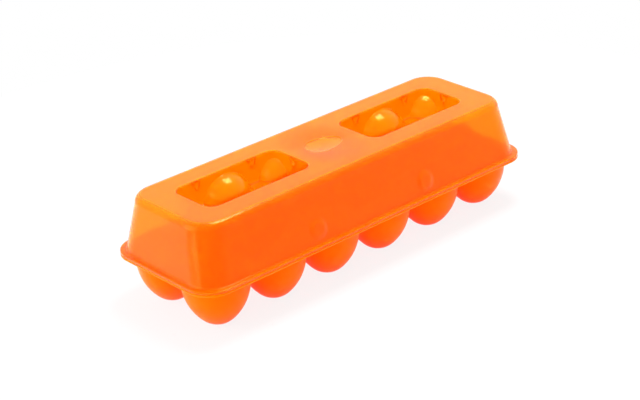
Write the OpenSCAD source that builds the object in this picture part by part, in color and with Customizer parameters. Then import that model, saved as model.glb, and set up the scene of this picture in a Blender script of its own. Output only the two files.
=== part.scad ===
// Egg carton for two rows of cups: a thin moulded tray, a lid with two deep
// pockets that is hinged along the back, and a locking flap inside the front.
// X runs along the carton, -Y is the front, and the cups stand on Z = 0.

/* [Sheet] */
// Thickness of the moulded sheet
sheet = 1.1; // [0.8:0.1:1.5]
// Running gap between pieces that move past each other
gap = 0.3; // [0.2:0.05:0.5]

/* [Cups] */
// Number of cup columns along the carton
cup_columns = 6; // [4:2:8]
// Distance between neighbouring cup centres
cup_pitch = 48; // [47:0.5:54]
// Outer radius of a cup at its mouth
cup_r = 23; // [21:0.1:23]
// Radius of the round bottom of a cup
cup_bottom_r = 16.5; // [15:0.5:19]
// Height of a cup's widest ring above the table
cup_wide_h = 31; // [27:0.5:33]
// Radius of the flat foot under each cup
foot_r = 5; // [4:0.5:7]
// Height of the tray's top face
tray_h = 36.4; // [35:0.1:40]

/* [Posts between the cups] */
// Radius of a post where it leaves the tray
post_foot_r = 15; // [13:0.5:17]
// Radius of a post at its top
post_top_r = 4; // [3:0.5:6]
// Radius of the small post at each end of the tray, where it leaves the tray
end_post_r = 8; // [6:0.5:9]
// Height of the end posts above the tray's top face
end_post_h = 11; // [6:0.5:14]

/* [Rims] */
// How far the rim reaches past the end cups
rim_end = 5.8; // [5.6:0.1:10]
// How far the rim reaches past the sides of the cups
rim_side = 5.2; // [5:0.1:9]
// Corner radius of the rims, seen from above
rim_corner_r = 18.5; // [12:0.5:22]
// Height of the turned edge of each rim
rim_lip_h = 1.7; // [1.4:0.1:3]

/* [Lid] */
// Height of the closed carton
carton_h = 78.7; // [76:0.1:90]
// Width of the sloping step between the rim and the lid's wall
lid_step = 3.4; // [3:0.1:4]
// Height of that sloping step
lid_step_h = 1.2; // [1:0.1:4]
// Corner radius of the lid's wall, seen from above
lid_corner_r = 18; // [14:0.5:22]
// How far each end wall leans in towards the top
end_lean = 5.2; // [2:0.1:6]
// How far the front and back walls lean in towards the top
side_lean = 7.5; // [4:0.1:8]
// Rounding between the walls and the top
lid_edge_r = 5.5; // [3:0.5:7]

/* [Pockets in the lid] */
// Length of a pocket at the top
pocket_len = 87.6; // [80:0.1:90]
// Width of a pocket at the top
pocket_w = 40.6; // [36:0.1:45]
// Depth of a pocket
pocket_depth = 18.5; // [14:0.5:20]
// Corner radius of a pocket
pocket_corner_r = 8; // [5:0.5:10]
// How far a pocket's wall leans in towards its floor
pocket_lean = 1; // [0.5:0.1:2]
// How far a pocket's middle lies outside the middle of its cups
pocket_outset = 0.4; // [0:0.1:1.5]
// Radius of the egg-top domes that rise in the pockets
dome_r = 21; // [19:0.1:22]
// How far the domes stay below the top of the lid
dome_drop = 3.2; // [3:0.1:5]
// Width of the small stacking notches under a pocket's edge
notch_w = 7; // [5:0.5:9]
// Height of the stacking notches
notch_h = 5.5; // [4:0.5:7]
// Depth of the stacking notches
notch_depth = 2; // [1.5:0.1:3]

/* [Locking flap] */
// Distance from the lid's front wall to the flap behind it
flap_gap = 1.2; // [0.8:0.1:1.6]
// Length of the flap along its foot
flap_len = 264; // [240:1:270]
// Height of the flap's two shoulders above the table
shoulder_h = 59; // [56:0.5:62]
// Width of the flat top of each shoulder
shoulder_w = 36; // [30:1:40]
// Height of the flap's waist between the shoulders
waist_h = 48.5; // [44:0.5:51]
// Width of the flat part of the waist
waist_w = 24; // [16:1:28]
// Height of the low wings where the shoulders' slopes end
wing_h = 40.5; // [39:0.5:43]
// Distance from the middle at which the low wings begin
wing_x = 100; // [95:1:110]
// Rounding of the flap's outline
flap_round = 4; // [2:0.5:6]
// Distance of the snap buttons and the shoulders from the middle
button_x = 49.5; // [45:0.5:53]
// Height of the buttons' middle above the table
button_h = 48; // [46:0.5:50]
// Radius of a snap button
button_r = 5.5; // [4:0.5:6]
// How far a dimple stands out of the lid's front wall
dimple_out = 0.8; // [0.4:0.1:1.2]

/* [Hinge] */
// Radius of the bead along the hinge line
bead_r = 1; // [0.8:0.1:1.5]
// Length of the hinge bead
bead_len = 252; // [200:1:256]

/* [Hidden] */
plastic = "darkorange";
// Facets of round corners, of the lid's round edge and of the cups
plan_fn = 32;
edge_fn = 16;
cup_fn = 96;
// Steps along the two arcs of a cup's outline, and the angle left out where they meet
bottom_steps = 5;
side_steps = 6;
join_step = 4;
// Smallest overlap of shapes that are joined, and how far a cut runs past what it cuts
eps = 0.01;
over = 1;

// A cup is a round bottom that runs smoothly into a wider side arc
cup_foot_sink = cup_bottom_r - sqrt(cup_bottom_r * cup_bottom_r - foot_r * foot_r);
bottom_z = cup_bottom_r - cup_foot_sink;
cup_rise = cup_wide_h - bottom_z;
side_arc_r = (cup_r * cup_r + cup_rise * cup_rise - cup_bottom_r * cup_bottom_r)
           / (2 * (cup_r - cup_bottom_r));

// Where the cups and the gaps between them lie
row_y = cup_pitch / 2;
column_xs = [for (i = [0 : cup_columns - 1]) (i - (cup_columns - 1) / 2) * cup_pitch];
saddle_xs = [for (i = [1 : cup_columns - 1]) (i - cup_columns / 2) * cup_pitch];
last_cup_x = column_xs[cup_columns - 1];

// Half sizes of the rims, of the foot of the lid's wall and of the lid's top
rim_x = last_cup_x + cup_r + rim_end;
rim_y = row_y + cup_r + rim_side;
step_z = tray_h + rim_lip_h;
foot_x = rim_x - lid_step;
foot_y = rim_y - lid_step;
foot_z = step_z + lid_step_h;
top_x = foot_x - end_lean;
top_y = foot_y - side_lean;
edge_z = carton_h - lid_edge_r;
wall_slope = side_lean / (edge_z - foot_z);
wall_lean = atan(wall_slope);

// Pockets, domes and posts
pocket_x = cup_pitch * cup_columns / 4 + pocket_outset;
pocket_z = carton_h - pocket_depth;
dome_z = carton_h - dome_drop - dome_r;
post_top_z = pocket_z - sheet - gap;
end_post_x = foot_x - sheet - gap - end_post_r;
notch_top_z = carton_h - sheet;
notch_xs = [for (x = saddle_xs) if (abs(abs(x) - pocket_x) < pocket_len / 2 - notch_w) x];

// Hinge line, and how far the drawing moves forward to stay centred over it
hinge_y = rim_y + gap + bead_r;
mid_y = -(gap + 2 * bead_r) / 2;

module placed() {
    translate([0, mid_y, 0]) children();
}

module rounded_plan(half_x, half_y, r) {
    square([2 * half_x, 2 * (half_y - r)], center = true);
    square([2 * (half_x - r), 2 * half_y], center = true);
    for (x = [-1, 1], y = [-1, 1])
        translate([x * (half_x - r), y * (half_y - r)]) circle(r = r, $fn = plan_fn);
}

module slab(half_x, half_y, r, z0, z1) {
    translate([0, 0, z0]) linear_extrude(height = z1 - z0) rounded_plan(half_x, half_y, r);
}

module at_cups() {
    for (x = column_xs, y = [-row_y, row_y]) translate([x, y, 0]) children();
}

function arc(x, z, r, from, to, steps) =
    [for (i = [0 : steps]) let (a = from + (to - from) * i / steps) [x + r * cos(a), z + r * sin(a)]];

// A cup turned from half its outline. "inset" gives the form of its inside.
module cup_solid(inset, top) {
    low_r = cup_bottom_r - inset;
    foot_angle = -asin((bottom_z - inset) / low_r);
    join_angle = -asin(cup_rise / (side_arc_r - cup_bottom_r));
    rotate_extrude($fn = cup_fn) polygon(concat(
        [[0, inset]],
        arc(0, bottom_z, low_r, foot_angle, join_angle - join_step, bottom_steps),
        arc(cup_r - side_arc_r, cup_wide_h, side_arc_r - inset, join_angle, 0, side_steps),
        [[cup_r - inset, top], [0, top]]
    ));
}

// A post that fills the space between cups; its sides carry on the cups' walls
module post(x, r, top_z, inset) {
    difference() {
        translate([x, 0, tray_h - sheet - inset])
            cylinder(r1 = r - inset, r2 = post_top_r - inset, h = top_z - tray_h + sheet, $fn = cup_fn);
        at_cups() cylinder(r = cup_r - sheet + inset, h = carton_h, $fn = cup_fn);
    }
}

module posts(inset) {
    for (x = saddle_xs) post(x, post_foot_r, post_top_z, inset);
    for (side = [-1, 1]) post(side * end_post_x, end_post_r, tray_h + end_post_h, inset);
}

module tray() {
    color(plastic) placed() difference() {
        union() {
            at_cups() cup_solid(0, tray_h - eps);
            difference() {
                slab(rim_x, rim_y, rim_corner_r, tray_h - rim_lip_h, tray_h);
                slab(rim_x - sheet, rim_y - sheet, rim_corner_r - sheet, 0, tray_h - sheet);
            }
            posts(0);
        }
        at_cups() cup_solid(sheet, tray_h + over);
        posts(sheet);
    }
}

// The lid's walls and top as one block, rounded along the top edge
module lid_block(inset) {
    round_r = lid_edge_r - inset;
    corner_r = lid_corner_r - inset;
    hull() {
        slab(foot_x - inset, foot_y - inset, corner_r, foot_z - eps, foot_z);
        for (x = [-1, 1], y = [-1, 1])
            translate([x * (top_x - lid_corner_r), y * (top_y - lid_corner_r), edge_z])
                rotate_extrude($fn = plan_fn) translate([corner_r - round_r, 0]) circle(r = round_r, $fn = edge_fn);
    }
}

// The sloping step from the wall down to the rim, and the rim's turned edge
module lid_rim(inset) {
    hull() {
        slab(foot_x - inset, foot_y - inset, lid_corner_r - inset, foot_z - eps, foot_z);
        slab(rim_x - inset, rim_y - inset, rim_corner_r - inset, step_z - inset, step_z - inset + eps);
    }
    slab(rim_x - inset, rim_y - inset, rim_corner_r - inset, tray_h - inset, step_z - inset + eps);
}

// One pocket, narrower at its floor
module pocket(grow) {
    half_len = pocket_len / 2 + grow;
    half_w = pocket_w / 2 + grow;
    depth = pocket_depth + grow;
    translate([0, 0, carton_h]) mirror([0, 0, 1])
        linear_extrude(height = depth, scale = [1 - pocket_lean / half_len, 1 - pocket_lean / half_w])
            rounded_plan(half_len, half_w, pocket_corner_r + grow);
}

module domes(inset) {
    at_cups() translate([0, 0, dome_z]) sphere(r = dome_r - inset, $fn = cup_fn);
}

module pockets(grow) {
    difference() {
        for (side = [-1, 1]) translate([side * pocket_x, 0, 0]) pocket(grow);
        domes(grow);
    }
}

// Small notches under the pockets' edges, pointed at the bottom. Each one is
// drawn as a bar that runs across the pocket into both walls.
module notch_bar(wall_distance, grow) {
    half_w = notch_w / 2 + grow;
    rotate([90, 0, 0])
        linear_extrude(height = 2 * (wall_distance + notch_depth + grow), center = true)
            polygon([[-half_w, grow], [half_w, grow], [0, -notch_h - grow]]);
}

module notches(grow) {
    translate([0, 0, notch_top_z]) {
        for (x = notch_xs) translate([x, 0, 0]) notch_bar(pocket_w / 2, grow);
        for (side = [-1, 1]) translate([side * pocket_x, 0, 0]) rotate([0, 0, 90]) notch_bar(pocket_len / 2, grow);
    }
}

// Shallow round dimples in the front wall, over the flap's buttons
module dimples(inset) {
    for (side = [-1, 1])
        translate([side * button_x, 0, button_h]) at_wall() rotate([90, 0, 0])
            translate([0, 0, -sheet - eps])
                cylinder(r = button_r + gap + sheet - inset, h = sheet + eps + dimple_out - inset, $fn = plan_fn);
}

// Moves a thing drawn at height zero onto the leaning front wall
module at_wall() {
    translate([0, wall_slope * (button_h - foot_z) - foot_y, 0]) rotate([-wall_lean, 0, 0]) children();
}

module lid() {
    color(plastic) placed() difference() {
        union() {
            difference() {
                lid_block(0);
                pockets(0);
            }
            lid_rim(0);
            dimples(0);
        }
        difference() {
            lid_block(sheet);
            pockets(sheet);
            notches(sheet);
        }
        lid_rim(sheet);
        dimples(sheet);
        notches(0);
    }
}

// Distance along the leaning flap from its foot up to height z
function up_flap(z) = (z - tray_h) / cos(wall_lean);

// The flap's outline: two shoulders with a waist between them, and low wings
module flap_outline() {
    half = [
        [waist_w / 2, up_flap(waist_h)],
        [button_x - shoulder_w / 2, up_flap(shoulder_h)],
        [button_x + shoulder_w / 2, up_flap(shoulder_h)],
        [wing_x, up_flap(wing_h)],
        [flap_len / 2, 0],
        [flap_len / 2, -2 * flap_round]
    ];
    offset(r = flap_round) offset(delta = -2 * flap_round) offset(delta = flap_round)
        polygon(concat(half, [for (i = [len(half) - 1 : -1 : 0]) [-half[i][0], half[i][1]]]));
}

// Moves a thing drawn flat, with Y up, onto the flap's leaning front face
module on_flap() {
    translate([0, sheet + flap_gap - foot_y - wall_slope * (foot_z - tray_h), tray_h])
        rotate([90 - wall_lean, 0, 0]) children();
}

module button(r, z0, z1) {
    for (side = [-1, 1]) translate([side * button_x, up_flap(button_h), z0])
        cylinder(r = r, h = z1 - z0, $fn = plan_fn);
}

module locking_flap() {
    button_out = flap_gap - gap;
    color(plastic) placed() difference() {
        on_flap() difference() {
            union() {
                translate([0, 0, -sheet]) linear_extrude(height = sheet) flap_outline();
                button(button_r, -eps, button_out);
            }
            button(button_r - sheet, -sheet - over, button_out - sheet);
        }
        translate([-rim_x, -rim_y, 0]) cube([2 * rim_x, 2 * rim_y, tray_h]);
    }
}

// The hinge: a bead along the back, joined to the edge of the tray's rim
module hinge_bead() {
    color(plastic) placed() translate([-bead_len / 2, 0, 0]) {
        translate([0, hinge_y, tray_h]) rotate([0, 90, 0]) cylinder(r = bead_r, h = bead_len, $fn = plan_fn);
        translate([0, rim_y, tray_h - rim_lip_h]) cube([bead_len, hinge_y - rim_y, rim_lip_h - gap]);
    }
}

tray();
locking_flap();
hinge_bead();
lid();
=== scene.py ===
"""Egg carton in thin orange polypropylene: a tray of twelve round cups, a lid with
two sunken pockets, and a locking flap that stands behind the lid's front wall."""

import math

import bmesh
import bpy
from mathutils import Matrix, Vector


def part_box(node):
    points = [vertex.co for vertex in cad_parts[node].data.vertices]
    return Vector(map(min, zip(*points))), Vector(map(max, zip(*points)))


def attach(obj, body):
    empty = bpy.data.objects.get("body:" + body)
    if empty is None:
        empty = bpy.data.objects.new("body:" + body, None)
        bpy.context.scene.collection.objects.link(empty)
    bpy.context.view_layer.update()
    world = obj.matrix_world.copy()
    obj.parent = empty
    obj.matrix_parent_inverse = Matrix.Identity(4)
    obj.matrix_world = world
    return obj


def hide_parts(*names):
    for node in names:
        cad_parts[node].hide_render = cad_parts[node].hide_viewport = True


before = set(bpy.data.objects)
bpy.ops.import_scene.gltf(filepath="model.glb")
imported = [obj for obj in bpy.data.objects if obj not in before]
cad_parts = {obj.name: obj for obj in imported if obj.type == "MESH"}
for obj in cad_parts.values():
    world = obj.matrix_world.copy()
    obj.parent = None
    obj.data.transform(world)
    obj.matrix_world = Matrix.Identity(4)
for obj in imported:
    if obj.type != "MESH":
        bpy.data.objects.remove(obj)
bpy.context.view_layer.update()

# Sizes in millimetres. The pieces are drawn about the middle plane between the
# two rows of cups, and finish_piece moves them to their place in the frame.
MM = 0.001
lid_low, lid_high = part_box("lid")
tray_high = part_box("tray")[1]
flap_low, flap_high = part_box("locking_flap")
bead_low, bead_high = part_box("hinge_bead")
mid_y = (lid_low.y + lid_high.y) / 2 / MM
rim_x = lid_high.x / MM
rim_y = (lid_high.y - lid_low.y) / 2 / MM
tray_h = lid_low.z / MM
carton_h = lid_high.z / MM
post_top_z = tray_high.z / MM

sheet = 1.1
cup_pitch = 48
row_y = cup_pitch / 2
cup_r = 23
cup_bottom_r = 16.5
cup_wide_h = 31
foot_r = 5
mouth_round = 1.2
post_foot_r = 15
post_top_r = 4
end_post_r = 8
end_post_h = 11
end_post_gap = 0.3

rim_corner_r = 18.5
rim_lip_h = 1.7
lip_round = 0.8
lid_step = 3.4
lid_step_h = 1.2
lid_corner_r = 18
end_lean = 5.2
side_lean = 7.5
lid_edge_r = 5.5

pocket_x = 72.4
pocket_len = 87.6
pocket_w = 40.6
pocket_depth = 18.5
pocket_corner_r = 8
pocket_lean = 1
pocket_round = 1.3
dome_r = 21
dome_drop = 3.2
notch_w = 7
notch_h = 5.5
notch_depth = 2
notch_drop = 0.15

emblem_len = 30
emblem_w = 21
emblem_drop = 0.5
emblem_inset = 0.3

flap_gap = 1.2
flap_len = (flap_high.x - flap_low.x) / MM
flap_foot = 0.3
shoulder_h = 59
shoulder_w = 36
waist_h = 48.5
waist_w = 24
wing_h = 40.5
wing_x = 100
flap_round = 4
button_x = 49.5
button_h = 48
button_r = 5.5
button_round = 0.45
snap_gap = 0.3
dimple_r = 6.9
dimple_out = 0.8

web_drop = 0.3
web_bite = 0.4
web_round = 0.25

wave_size = 14
wave_depth = 0.2
frost_low = 0.45
frost_high = 0.15

column_xs = [(i - 2.5) * cup_pitch for i in range(6)]
saddle_xs = [(i - 2) * cup_pitch for i in range(5)]
step_z = tray_h + rim_lip_h
foot_x = rim_x - lid_step
foot_y = rim_y - lid_step
foot_z = step_z + lid_step_h
top_x = foot_x - end_lean
top_y = foot_y - side_lean
edge_z = carton_h - lid_edge_r
floor_z = carton_h - pocket_depth
dome_z = carton_h - dome_drop - dome_r
end_post_x = foot_x - sheet - end_post_gap - end_post_r
wall_slope = side_lean / (edge_z - foot_z)
wall_lean = math.atan(wall_slope)


def append(target, part, matrix=Matrix.Identity(4)):
    """Adds a copy of part to target, moved by matrix."""
    mesh = bpy.data.meshes.new("passing")
    part.to_mesh(mesh)
    mesh.transform(matrix)
    target.from_mesh(mesh)
    bpy.data.meshes.remove(mesh)


def weld(bm, distance=0.01):
    bmesh.ops.remove_doubles(bm, verts=bm.verts[:], dist=distance)


def arc(x, z, r, start, end, steps):
    """Points along an arc in the XZ plane, angles in degrees."""
    angles = [math.radians(start + (end - start) * i / steps) for i in range(steps + 1)]
    return [(x + r * math.cos(a), z + r * math.sin(a)) for a in angles]


def spun(points, steps):
    """A surface turned from an outline of (radius, height) points about the Z axis."""
    bm = bmesh.new()
    verts = [bm.verts.new((r, 0, z)) for r, z in points]
    edges = [bm.edges.new(pair) for pair in zip(verts, verts[1:])]
    bmesh.ops.spin(
        bm,
        geom=verts + edges,
        cent=(0, 0, 0),
        axis=(0, 0, 1),
        angle=2 * math.pi,
        steps=steps,
        use_merge=True,
    )
    weld(bm, 0.001)
    return bm


def trim(bm, point, outward):
    """Cuts away what lies beyond a plane."""
    everything = bm.verts[:] + bm.edges[:] + bm.faces[:]
    bmesh.ops.bisect_plane(
        bm, geom=everything, dist=0.0001, plane_co=point, plane_no=outward, clear_outer=True
    )


def trim_rounded(bm, half_x, half_y, r, z=0, lean=0, steps=9):
    """Cuts away what lies outside a rounded rectangle, whose sides pass its outline at
    height z and lean in by the share lean of their depth below it."""
    for i in range(4 * steps):
        angle = 2 * math.pi * i / (4 * steps)
        n = Vector((math.cos(angle), math.sin(angle), 0))
        corner = Vector((half_x - r, half_y - r, 0))
        side = Vector([c * (0 if abs(v) < 1e-6 else math.copysign(1, v)) for c, v in zip(corner, n)])
        trim(bm, side + r * n + Vector((0, 0, z)), n - Vector((0, 0, lean)))


def each_once(parts):
    """The parts in the order they come in, each of them once."""
    return list(dict.fromkeys(parts))


def rim_edges(bm, z_low=0):
    """Edges with one face that lie above a height."""
    found = [e for e in bm.edges if len(e.link_faces) == 1]
    return [e for e in found if all(v.co.z > z_low for v in e.verts)]


def grow_ring(bm, edges, place):
    """Extrudes a ring of edges and puts each new vertex where place says."""
    made = bmesh.ops.extrude_edge_only(bm, edges=edges)["geom"]
    verts = [g for g in made if isinstance(g, bmesh.types.BMVert)]
    edges = [g for g in made if isinstance(g, bmesh.types.BMEdge) and all(v in verts for v in g.verts)]
    for v in verts:
        v.co = place(v.co.copy())
    return edges


def resize(co, old, new):
    """Moves a point of one rounded rectangle to the like place on another. Each is
    half length, half width, corner radius and height."""
    core_old = (old[0] - old[2], old[1] - old[2])
    core_new = (new[0] - new[2], new[1] - new[2])
    inner = [max(-c, min(c, v)) for c, v in zip(core_old, co[:2])]
    out = Vector((co.x - inner[0], co.y - inner[1], 0)) / old[2]
    middle = [v * n / o for v, n, o in zip(inner, core_new, core_old)]
    return Vector((*middle, new[3])) + new[2] * out


def between(a, b, share):
    return [p + (q - p) * share for p, q in zip(a, b)]


def curve(a, b, c, steps):
    """Rings along a soft bend from a to c, with its corner at b."""
    shares = [i / steps for i in range(steps + 1)]
    return [between(between(a, b, t), between(b, c, t), t) for t in shares]


def round_corners(bm, verts, r, steps):
    bmesh.ops.bevel(
        bm,
        geom=verts,
        offset=r,
        offset_type="OFFSET",
        segments=steps,
        profile=0.5,
        affect="VERTICES",
        material=-1,
    )
    bmesh.ops.delete(bm, geom=bm.faces[:], context="FACES_ONLY")


def fill(bm, edges):
    """Fills the flat region between closed loops of edges."""
    bmesh.ops.triangle_fill(bm, use_beauty=True, use_dissolve=False, edges=edges, normal=(0, 0, 1))


def rounded_loop(bm, ring, corner_steps, pitch):
    """A loop of edges round a rounded rectangle, its straight sides cut to the pitch."""
    half_x, half_y, r, z = ring
    made = bmesh.ops.create_grid(bm, x_segments=1, y_segments=1, size=1)["verts"]
    for v in made:
        v.co = (v.co.x * half_x, v.co.y * half_y, z)
    round_corners(bm, made, r, corner_steps)
    for e in [e for e in bm.edges if e.calc_length() > 2 * r]:
        bmesh.ops.subdivide_edges(bm, edges=[e], cuts=round(e.calc_length() / pitch) - 1)
    return bm.edges[:]


def soft_step(value, low, high):
    """0 below low, 1 above high, smooth between."""
    t = max(0.0, min(1.0, (value - low) / (high - low)))
    return t * t * (3 - 2 * t)


def finish_piece(name, bm, body, node, material):
    """Makes an object of a mesh drawn in millimetres and ties it to the frame."""
    mesh = bpy.data.meshes.new(name)
    bm.to_mesh(mesh)
    bm.free()
    mesh.transform(Matrix.Scale(MM, 4) @ Matrix.Translation((0, mid_y, 0)))
    mesh.materials.append(material)
    for face in mesh.polygons:
        face.use_smooth = True
    piece = bpy.data.objects.new(name, mesh)
    bpy.context.scene.collection.objects.link(piece)
    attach(piece, body)
    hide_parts(node)
    return piece


def give_thickness(piece):
    """Makes a drawn face into moulded sheet, on the side its normals turn away from."""
    wall = piece.modifiers.new("Sheet", "SOLIDIFY")
    wall.thickness = sheet * MM
    wall.offset = -1
    wall.use_quality_normals = True


# Tray: cups spun about their axes, cut square halfway to their neighbours and welded
def cup_outline():
    """The inside of a cup, its rounded mouth and the flat deck round it."""
    rise = cup_wide_h - math.sqrt(cup_bottom_r**2 - foot_r**2)
    bottom_z = cup_wide_h - rise
    side_r = (cup_r**2 + rise**2 - cup_bottom_r**2) / (2 * (cup_r - cup_bottom_r))
    low_r = cup_bottom_r - sheet
    foot_angle = math.degrees(-math.asin((bottom_z - sheet) / low_r))
    join_angle = math.degrees(-math.asin(rise / (side_r - cup_bottom_r)))
    wall_r = cup_r - sheet
    mouth_z = tray_h - mouth_round
    points = [(0, sheet), (foot_r / 2, sheet)]
    points += arc(0, bottom_z, low_r, foot_angle, join_angle - 1, 4)
    points += arc(cup_r - side_r, cup_wide_h, side_r - sheet, join_angle + 2, 0, 9)
    points += [(wall_r, cup_wide_h + (mouth_z - cup_wide_h) * i / 3) for i in (1, 2)]
    points += arc(wall_r + mouth_round, mouth_z, mouth_round, 180, 90, 3)
    deck_radii = (24, 25.2, 26.5, 28, 29.5, 31, 32.5, 34, 37, 43)
    return points + [(r, tray_h) for r in deck_radii]


def cone_height(distance, r, top_r, height):
    """Height of a post with soft edges, at a distance from its axis."""
    share = (r - distance) / (r - top_r)
    soft = 0.15
    if share < 1 - soft:
        return height * soft_step(share, -0.12, 0.3) * max(share, 0)
    if share < 1 + soft:
        return height * (1 - (1 + soft - share) ** 2 / (4 * soft))
    return height


def post_rise(co):
    posts = [(x, post_foot_r, post_top_r, post_top_z - tray_h) for x in saddle_xs]
    posts += [(side * end_post_x, end_post_r, post_top_r, end_post_h) for side in (-1, 1)]
    return max(cone_height(math.hypot(co.x - x, co.y), r, top_r, h) for x, r, top_r, h in posts)


def make_tray(material):
    cup = spun(cup_outline(), 96)
    cup.transform(Matrix.Translation((0, row_y, 0)))
    trim(cup, (0, 0, 0), (0, -1, 0))
    bm = bmesh.new()
    for i, x in enumerate(column_xs):
        cell = cup.copy()
        if i > 0:
            trim(cell, (-cup_pitch / 2, 0, 0), (-1, 0, 0))
        if i < len(column_xs) - 1:
            trim(cell, (cup_pitch / 2, 0, 0), (1, 0, 0))
        append(bm, cell, Matrix.Translation((x, 0, 0)))
        append(bm, cell, Matrix.Translation((x, 0, 0)) @ Matrix.Scale(-1, 4, (0, 1, 0)))
        cell.free()
    cup.free()
    weld(bm)
    deck = (rim_x - lip_round, rim_y - lip_round, rim_corner_r - lip_round)
    trim_rounded(bm, *deck)
    # Edges are cut finer where the posts rise from the deck
    near_post = [
        e
        for e in bm.edges
        if all(v.co.z > tray_h - 0.1 and post_rise(v.co) + post_rise(v.co * 0.97) > 0 for v in e.verts)
    ]
    bmesh.ops.subdivide_edges(bm, edges=near_post, cuts=1, use_grid_fill=True)
    for v in bm.verts:
        if v.co.z > cup_wide_h:
            v.co.z += post_rise(v.co) * min(1, (v.co.z - cup_wide_h) / (tray_h - mouth_round - cup_wide_h))
    ring = (*deck, tray_h)
    edges = rim_edges(bm)
    for angle in (22.5, 45, 67.5, 90):
        out = lip_round * math.sin(math.radians(angle))
        down = lip_round * (1 - math.cos(math.radians(angle)))
        new = (deck[0] + out, deck[1] + out, deck[2] + out, tray_h - down)
        edges = grow_ring(bm, edges, lambda co, old=ring, new=new: resize(co, old, new))
        ring = new
    low = (*ring[:3], tray_h - rim_lip_h)
    grow_ring(bm, edges, lambda co: resize(co, ring, low))
    bmesh.ops.recalc_face_normals(bm, faces=bm.faces[:])
    piece = finish_piece("tray", bm, "base", "tray", material)
    give_thickness(piece)


# Locking flap: a sheet that leans along the lid's front wall, with two hollow snap buttons
def up_flap(z):
    return (z - tray_h) / math.cos(wall_lean)


def button_outline():
    """Half of a hollow button's outline, from its top to the flap's face."""
    out = flap_gap - snap_gap
    edge = button_round
    points = [(0, out), (button_r - 2, out)]
    points += arc(button_r - edge, out - edge, edge, 90, 0, 3)
    points += arc(button_r + edge, edge, edge, 180, 270, 3)
    return points + [(button_r + 1.2, 0)]


def make_flap(material):
    bm = bmesh.new()
    half = [
        (waist_w / 2, waist_h),
        (button_x - shoulder_w / 2, shoulder_h),
        (button_x + shoulder_w / 2, shoulder_h),
        (wing_x, wing_h),
        (flap_len / 2, tray_h - flap_foot),
    ]
    outline = half + [(-x, z) for x, z in reversed(half)]
    verts = [bm.verts.new((x, up_flap(z), 0)) for x, z in outline]
    bm.faces.new(verts)
    round_corners(bm, verts[:4] + verts[-4:], flap_round, 6)
    button = spun(button_outline(), 48)
    for side in (-1, 1):
        append(bm, button, Matrix.Translation((side * button_x, up_flap(button_h), 0)))
    button.free()
    fill(bm, [e for e in bm.edges if len(e.link_faces) < 2])
    bmesh.ops.recalc_face_normals(bm, faces=bm.faces[:])
    if max(bm.faces, key=lambda f: f.calc_area()).normal.z < 0:
        bmesh.ops.reverse_faces(bm, faces=bm.faces[:])
    foot_y_behind = sheet + flap_gap - foot_y - wall_slope * (foot_z - tray_h)
    lean = Matrix.Rotation(math.radians(90) - wall_lean, 4, "X")
    bm.transform(Matrix.Translation((0, foot_y_behind, tray_h)) @ lean)
    piece = finish_piece("locking_flap", bm, "base", "locking_flap", material)
    give_thickness(piece)


# Hinge: a round bead with domed ends, on a thin web along the tray's rim
def make_hinge(material):
    length = (bead_high.x - bead_low.x) / MM
    bead_r = bead_high.z / MM - tray_h
    hinge_y = rim_y + (bead_high.y / MM - mid_y - rim_y) - bead_r
    ends = arc(0, length / 2 - bead_r, bead_r, 90, 0, 6)
    half = ends + [(bead_r, length / 2 - bead_r - 20), (bead_r, length / 6)]
    bm = spun(half + [(r, -z) for r, z in reversed(half)], 24)
    bm.transform(Matrix.Translation((0, hinge_y, tray_h)) @ Matrix.Rotation(math.radians(90), 4, "Y"))
    web_top = tray_h - web_drop
    web = bmesh.new()
    bmesh.ops.create_cube(web, size=1)
    size = (length - 2 * bead_r, hinge_y - rim_y + web_bite, web_top - bead_low.z / MM)
    bmesh.ops.scale(web, vec=size, verts=web.verts[:])
    bmesh.ops.bevel(
        web, geom=web.edges[:], offset=web_round, segments=2, profile=0.5, affect="EDGES", material=-1
    )
    append(bm, web, Matrix.Translation((0, (hinge_y + rim_y - web_bite) / 2, web_top - size[2] / 2)))
    web.free()
    bmesh.ops.recalc_face_normals(bm, faces=bm.faces[:])
    finish_piece("hinge_bead", bm, "base", "hinge_bead", material)


# Lid: rings from the rim up over the round edge, then the deck round the pockets
def lid_rings():
    """Half length, half width, corner radius and height of each ring: the rim, its flat
    step with a small hollow bend, the wall and the round top edge."""
    rim = [rim_x, rim_y, rim_corner_r, tray_h]
    lip = [rim_x, rim_y, rim_corner_r, step_z]
    bend = [foot_x + 0.1, foot_y + 0.1, lid_corner_r + 0.1, step_z + 0.25]
    foot = [foot_x, foot_y, lid_corner_r, foot_z]
    top = [top_x, top_y, lid_corner_r, edge_z]
    rings = [rim, between(rim, lip, 0.5)]
    rings += curve(between(rim, lip, 0.75), lip, between(lip, bend, 0.15), 4)
    rings += curve(between(lip, bend, 0.7), bend, between(foot, top, 0.03), 6)
    rings += [between(foot, top, 0.05 * i) for i in range(1, 11)]
    rings += [between(foot, top, share) for share in (0.6, 0.7, 0.8, 0.9, 1)]
    for i in range(1, 10):
        angle = math.radians(10 * i)
        back = lid_edge_r * (1 - math.cos(angle))
        up = lid_edge_r * math.sin(angle)
        rings.append([top_x - back, top_y - back, lid_corner_r - back, edge_z + up])
    flat = lid_edge_r + 1
    rings.append([top_x - flat, top_y - flat, lid_corner_r - flat, carton_h])
    return rings


def push_dimples(bm):
    """Raises the two shallow snap dimples in the front wall."""
    out = Vector((0, -math.cos(wall_lean), math.sin(wall_lean)))
    flat_r = dimple_r - 1.8
    foot_ring_r = dimple_r + 0.4
    for side in (-1, 1):
        centre = Vector((side * button_x, wall_slope * (button_h - foot_z) - foot_y, button_h))
        for v in bm.verts:
            if v.co.y < 0:
                distance = (v.co - centre).length
                v.co += out * dimple_out * (1 - soft_step(distance, flat_r, foot_ring_r))


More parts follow.
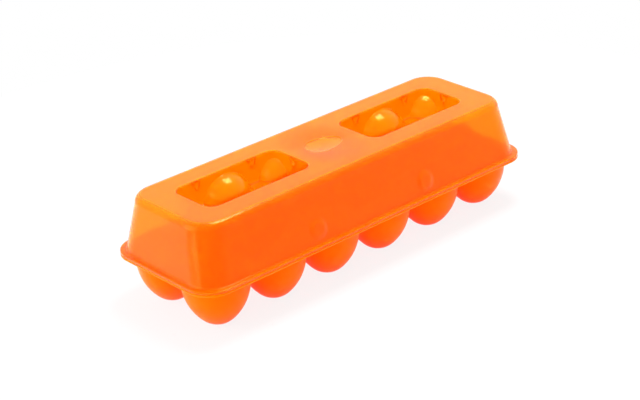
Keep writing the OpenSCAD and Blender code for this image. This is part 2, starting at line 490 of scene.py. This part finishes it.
def pocket_sheet():
    """The floor and the egg-top domes of one pocket, cut by its leaning walls."""
    foot_angle = math.degrees(math.asin((floor_z + 1 - dome_z) / dome_r))
    top = arc(0, dome_z, dome_r, 90, foot_angle, 26)
    foot = top[-1][0]
    past_corners = 52
    floor = [(r, floor_z) for r in (foot + 1, foot + 2, past_corners)]
    dome = spun(top + [(foot + 0.35, floor_z + 0.3)] + floor, 128)
    bm = bmesh.new()
    half = cup_pitch / 2
    for column in (-1, 0, 1):
        cell = dome.copy()
        trim(cell, (0, -row_y, 0), (0, -1, 0))
        if column > -1:
            trim(cell, (-half, 0, 0), (-1, 0, 0))
        if column < 1:
            trim(cell, (half, 0, 0), (1, 0, 0))
        place = Matrix.Translation((cup_pitch * 1.5 + column * cup_pitch - pocket_x, row_y, 0))
        append(bm, cell, place)
        append(bm, cell, Matrix.Scale(-1, 4, (0, 1, 0)) @ place)
        cell.free()
    dome.free()
    weld(bm)
    lean = pocket_lean / pocket_depth
    trim_rounded(bm, pocket_len / 2, pocket_w / 2, pocket_corner_r, carton_h, lean, 8)
    outline = each_once(v for e in rim_edges(bm) for v in e.verts)
    # Sorted round the pocket, so that each run joins the same ones
    outline.sort(key=lambda v: (math.atan2(v.co.y, v.co.x) - 1) % math.tau)
    bmesh.ops.remove_doubles(bm, verts=outline, dist=0.3)
    return bm


def make_pocket():
    """One pocket up to the flat deck round it."""
    bm = pocket_sheet()
    edges = rim_edges(bm)
    wall_top = carton_h - pocket_round
    lean = pocket_lean / pocket_depth
    half = (pocket_len / 2, pocket_w / 2)

    def outward(co):
        inner = Vector([max(pocket_corner_r - h, min(h - pocket_corner_r, v)) for v, h in zip(co[:2], half)])
        return (Vector(co[:2]) - inner).normalized().to_3d()

    def onto_deck(co):
        """A little way out, and further in the middle of a side, so that no three points are in line."""
        bulge = max(1 - (co.x / half[0]) ** 2, 1 - (co.y / half[1]) ** 2)
        margin = 0.8 + 0.3 * bulge
        return co + outward(co) * margin

    for rings_left in range(6, 0, -1):

        def up(co, rings_left=rings_left):
            rise = (wall_top - co.z) / rings_left
            return co + outward(co) * rise * lean + Vector((0, 0, rise))

        edges = grow_ring(bm, edges, up)
    edge_rings = 5
    step = pocket_round * math.radians(90) / edge_rings
    for i in range(edge_rings):
        angle = math.radians(90 * (i + 0.5) / edge_rings)

        def over(co, angle=angle):
            return co + outward(co) * step * math.sin(angle) + Vector((0, 0, step * math.cos(angle)))

        edges = grow_ring(bm, edges, over)
    edges = grow_ring(bm, edges, onto_deck)
    for e in edges:
        for v in e.verts:
            v.co.z = carton_h
    for x in saddle_xs:
        if abs(x - pocket_x) < pocket_len / 2:
            for side in (-1, 1):
                wall = Vector((x - pocket_x, side * pocket_w / 2, 0))
                cut_notch(bm, wall, Vector((1, 0, 0)), Vector((0, side, 0)))
    for side in (-1, 1):
        cut_notch(bm, Vector((side * pocket_len / 2, 0, 0)), Vector((0, 1, 0)), Vector((side, 0, 0)))
    return bm


def cut_notch(bm, centre, along, out):
    """A small pointed notch in the pocket's wall, pressed outwards from it."""
    top = carton_h - pocket_round - notch_drop
    slope = notch_h / (notch_w / 2)
    tip = Vector((centre.x, centre.y, top - notch_h))
    sides = [(tip, along * side * slope - Vector((0, 0, 1))) for side in (-1, 1)]
    sides.append((Vector((centre.x, centre.y, top)), Vector((0, 0, 1))))
    wall_reach = 2.5
    side_reach = 2.5 * notch_w

    def on_wall(face):
        middle = face.calc_center_median() - centre
        near = abs(middle.dot(out)) < wall_reach and abs(middle.dot(along)) < side_reach
        return near and abs(face.normal.dot(out)) > 0.7

    bm.normal_update()
    for point, normal in sides:
        faces = [f for f in bm.faces if on_wall(f)]
        parts = each_once(part for f in faces for part in (*f.verts, *f.edges, f))
        bmesh.ops.bisect_plane(bm, geom=parts, dist=0.0001, plane_co=point, plane_no=normal)
    inside = [
        f
        for f in bm.faces
        if on_wall(f) and all((f.calc_center_median() - point).dot(normal) < 0 for point, normal in sides)
    ]
    pressed = bmesh.ops.extrude_face_region(bm, geom=inside)["geom"]
    bmesh.ops.delete(bm, geom=inside, context="FACES")
    for v in each_once(g for g in pressed if isinstance(g, bmesh.types.BMVert)):
        v.co += out * notch_depth * min(1, (top - v.co.z) / notch_h + 0.4)


def egg_loop(bm, length, width, z):
    """The outline of a hen's egg, blunt towards -X."""
    bluntness = 0.16
    made = bmesh.ops.create_circle(bm, segments=64, radius=1)["verts"]
    for v in made:
        v.co = (v.co.x * length / 2, v.co.y * width / 2 * (1 - bluntness * v.co.x), z)
    return each_once(e for v in made for e in v.link_edges)


def press_emblem(bm, edges):
    """A plain egg shape, sunk a little into the deck between the pockets."""
    x_share = 1 - 2 * emblem_inset / emblem_len
    y_share = 1 - 2 * emblem_inset / emblem_w
    for share in (0.15, 0.85, 1):
        z = carton_h - emblem_drop * share
        edges = grow_ring(bm, edges, lambda co, z=z: Vector((co.x * x_share, co.y * y_share, z)))
    fill(bm, edges)


def make_lid(material):
    bm = bmesh.new()
    rings = lid_rings()
    edges = rounded_loop(bm, rings[0], 12, 1.6)
    for old, new in zip(rings, rings[1:]):
        edges = grow_ring(bm, edges, lambda co, old=old, new=new: resize(co, old, new))
    push_dimples(bm)
    pocket = make_pocket()
    append(bm, pocket, Matrix.Translation((pocket_x, 0, 0)))
    append(bm, pocket, Matrix.Scale(-1, 4, (1, 0, 0)) @ Matrix.Translation((pocket_x, 0, 0)))
    pocket.free()
    deck_edges = rim_edges(bm, carton_h - 0.05)
    emblem = egg_loop(bm, emblem_len, emblem_w, carton_h)
    fill(bm, deck_edges + emblem)
    press_emblem(bm, emblem)
    bmesh.ops.recalc_face_normals(bm, faces=bm.faces[:])
    piece = finish_piece("lid", bm, "lid", "lid", material)
    give_thickness(piece)


def linear(hex_colour):
    """Linear RGBA of an sRGB hex colour."""
    channels = [int(hex_colour[i : i + 2], 16) / 255 for i in (1, 3, 5)]
    return [c / 12.92 if c <= 0.04045 else ((c + 0.055) / 1.055) ** 2.4 for c in channels] + [1]


def add_node(tree, kind, links=None, **settings):
    """Adds a node with its settings. Names of sockets set them, links feed them."""
    node = tree.nodes.new(kind)
    for key, value in settings.items():
        if hasattr(node, key):
            setattr(node, key, value)
        else:
            node.inputs[key.replace("_", " ")].default_value = value
    for key, source in (links or {}).items():
        tree.links.new(source, node.inputs[key])
    return node


def fresh_material(name):
    material = bpy.data.materials.new(name)
    material.use_nodes = True
    material.node_tree.nodes.clear()
    return material, material.node_tree


# Orange polypropylene, injection moulded in thin glossy sheet. Light spreads far inside
# it, and the clearer lid shows the flap and the cups behind its walls. A faint red glow
# is painted light: it stands in for light that passes through the thin walls, and it
# keeps the shade red. The moulding is slightly wavy, and the lid's flat deck is frosted.
def polypropylene(name, colour, roughness, clear, deck_roughness=None):
    material, tree = fresh_material(name)
    place = add_node(tree, "ShaderNodeTexCoord")
    point = {"Vector": place.outputs["Object"]}
    waves = add_node(tree, "ShaderNodeTexNoise", point, Scale=1 / (wave_size * MM), Detail=1.0)
    uneven = add_node(
        tree, "ShaderNodeBump", {"Height": waves.outputs[0]}, Strength=0.5, Distance=wave_depth * MM
    )
    body = add_node(
        tree,
        "ShaderNodeBsdfPrincipled",
        {"Normal": uneven.outputs[0]},
        Base_Color=linear(colour),
        Roughness=roughness,
        IOR=1.49,
        Specular_IOR_Level=0.12,
        Specular_Tint=linear("#ffb850"),
        # Painted glow: a faint red emission in place of the light that passes through the walls
        Emission_Color=linear("#ff3800"),
        Emission_Strength=0.15,
        Transmission_Weight=clear,
        Subsurface_Weight=1.0,
        Subsurface_Radius=(1.0, 0.5, 0.01),
        Subsurface_Scale=8 * MM,
    )
    if deck_roughness:
        height = add_node(tree, "ShaderNodeSeparateXYZ", {0: place.outputs["Object"]})
        frost = add_node(
            tree,
            "ShaderNodeMapRange",
            {0: height.outputs["Z"]},
            From_Min=(carton_h - frost_low) * MM,
            From_Max=(carton_h - frost_high) * MM,
            To_Min=roughness,
            To_Max=deck_roughness,
        )
        tree.links.new(frost.outputs[0], body.inputs["Roughness"])
    add_node(tree, "ShaderNodeOutputMaterial", {"Surface": body.outputs[0]})
    return material


def seen_plainly(tree, mirrored):
    """1 for camera rays, the share mirrored for rays that the plastic mirrors or lets
    through, and 0 for rays that light the object."""
    path = add_node(tree, "ShaderNodeLightPath")
    other = {0: path.outputs["Is Glossy Ray"], 1: path.outputs["Is Transmission Ray"]}
    other = add_node(tree, "ShaderNodeMath", other, operation="MAXIMUM")
    part = add_node(tree, "ShaderNodeMath", {0: other.outputs[0]}, operation="MULTIPLY")
    part.inputs[1].default_value = mirrored
    both = {0: part.outputs[0], 1: path.outputs["Is Camera Ray"]}
    return add_node(tree, "ShaderNodeMath", both, operation="MAXIMUM").outputs[0]


surround_front = 0.18
surround_back = 0.9
brightest_way = (-0.25, 0.3, 0.92)
floor_r = 0.42
floor_white = 0.85
floor_mirrored = 0.4


def make_stage():
    """A white floor that keeps a soft shadow, under a white surround."""
    bm = bmesh.new()
    bmesh.ops.create_circle(bm, cap_ends=True, segments=96, radius=floor_r)
    mesh = bpy.data.meshes.new("floor")
    bm.to_mesh(mesh)
    bm.free()
    floor = bpy.data.objects.new("floor", mesh)
    bpy.context.scene.collection.objects.link(floor)
    material, tree = fresh_material("white paper")
    share = add_node(tree, "ShaderNodeMath", {0: seen_plainly(tree, floor_mirrored)}, operation="MULTIPLY")
    share.inputs[1].default_value = floor_white
    paper = add_node(tree, "ShaderNodeBsdfDiffuse", Color=linear("#e7e7e7"))
    glow = add_node(tree, "ShaderNodeEmission", Color=linear("#ffffff"))
    shaders = {0: share.outputs[0], 1: paper.outputs[0], 2: glow.outputs[0]}
    mix = add_node(tree, "ShaderNodeMixShader", shaders)
    add_node(tree, "ShaderNodeOutputMaterial", {"Surface": mix.outputs[0]})
    mesh.materials.append(material)
    make_world()


def make_world():
    """A white surround for the camera. Its light is soft, brighter behind the object
    than in front, as a white sweep gives it."""
    world = bpy.data.worlds.new("white surround")
    bpy.context.scene.world = world
    world.use_nodes = True
    tree = world.node_tree
    tree.nodes.clear()
    direction = add_node(tree, "ShaderNodeTexCoord")
    way = {0: direction.outputs["Generated"]}
    facing = add_node(tree, "ShaderNodeVectorMath", way, operation="DOT_PRODUCT")
    facing.inputs[1].default_value = brightest_way
    share = add_node(
        tree,
        "ShaderNodeMapRange",
        {0: facing.outputs["Value"]},
        interpolation_type="SMOOTHSTEP",
        From_Min=-0.35,
        From_Max=0.7,
        To_Min=surround_front,
        To_Max=surround_back,
    )
    both = {0: share.outputs[0], 1: seen_plainly(tree, 1)}
    seen = add_node(tree, "ShaderNodeMath", both, operation="MAXIMUM")
    light = add_node(tree, "ShaderNodeBackground", {"Strength": seen.outputs[0]}, Color=linear("#ffffff"))
    add_node(tree, "ShaderNodeOutputWorld", {"Surface": light.outputs[0]})


def make_softbox(name, direction, distance, size, watts):
    """A rectangular softbox that faces the middle of the floor."""
    data = bpy.data.lights.new(name, "AREA")
    data.shape = "RECTANGLE"
    data.size, data.size_y = size
    data.energy = watts
    lamp = bpy.data.objects.new(name, data)
    bpy.context.scene.collection.objects.link(lamp)
    lamp.location = Vector(direction).normalized() * distance
    lamp.rotation_mode = "QUATERNION"
    lamp.rotation_quaternion = lamp.location.to_track_quat("Z", "Y")


camera_azimuth = math.radians(-40.392)
camera_elevation = math.radians(25.739)
camera_roll = math.radians(-3.543)
camera_distance = 1.2257
camera_lens = 99.5
camera_aim = Vector((-4.95, 1.1, 36.91)) * MM


def make_camera():
    """The photograph's viewing angle."""
    level = math.cos(camera_elevation)
    x = level * math.sin(camera_azimuth)
    y = -level * math.cos(camera_azimuth)
    back = Vector((x, y, math.sin(camera_elevation)))
    data = bpy.data.cameras.new("camera")
    data.sensor_width = 36
    data.lens = camera_lens
    camera = bpy.data.objects.new("camera", data)
    bpy.context.scene.collection.objects.link(camera)
    camera.rotation_mode = "QUATERNION"
    turned = back.to_track_quat("Z", "Y") @ Matrix.Rotation(camera_roll, 4, "Z").to_quaternion()
    camera.rotation_quaternion = turned
    camera.location = camera_aim + back * camera_distance
    bpy.context.scene.camera = camera


# The scene: camera, floor, two lamps, two finishes and the four pieces
make_camera()
make_stage()
make_softbox("overhead softbox", (0.235, 0, 0.966), 0.85, (0.32, 0.32), 7)
make_softbox("side softbox", (-0.9, 0.25, 0.35), 1.0, (0.9, 0.9), 6.5)
tray_plastic = polypropylene("moulded orange polypropylene", "#ff7600", 0.3, 0.1)
lid_plastic = polypropylene("translucent orange polypropylene", "#ffb400", 0.12, 0.84, 0.35)
make_tray(tray_plastic)
make_flap(tray_plastic)
make_hinge(tray_plastic)
make_lid(lid_plastic)
bpy.context.scene.view_settings.view_transform = "Standard"

# Light passes many sheets before it comes out, so it may bounce often
cycles = bpy.context.scene.cycles
cycles.max_bounces = 16
cycles.diffuse_bounces = 10
cycles.transmission_bounces = 16
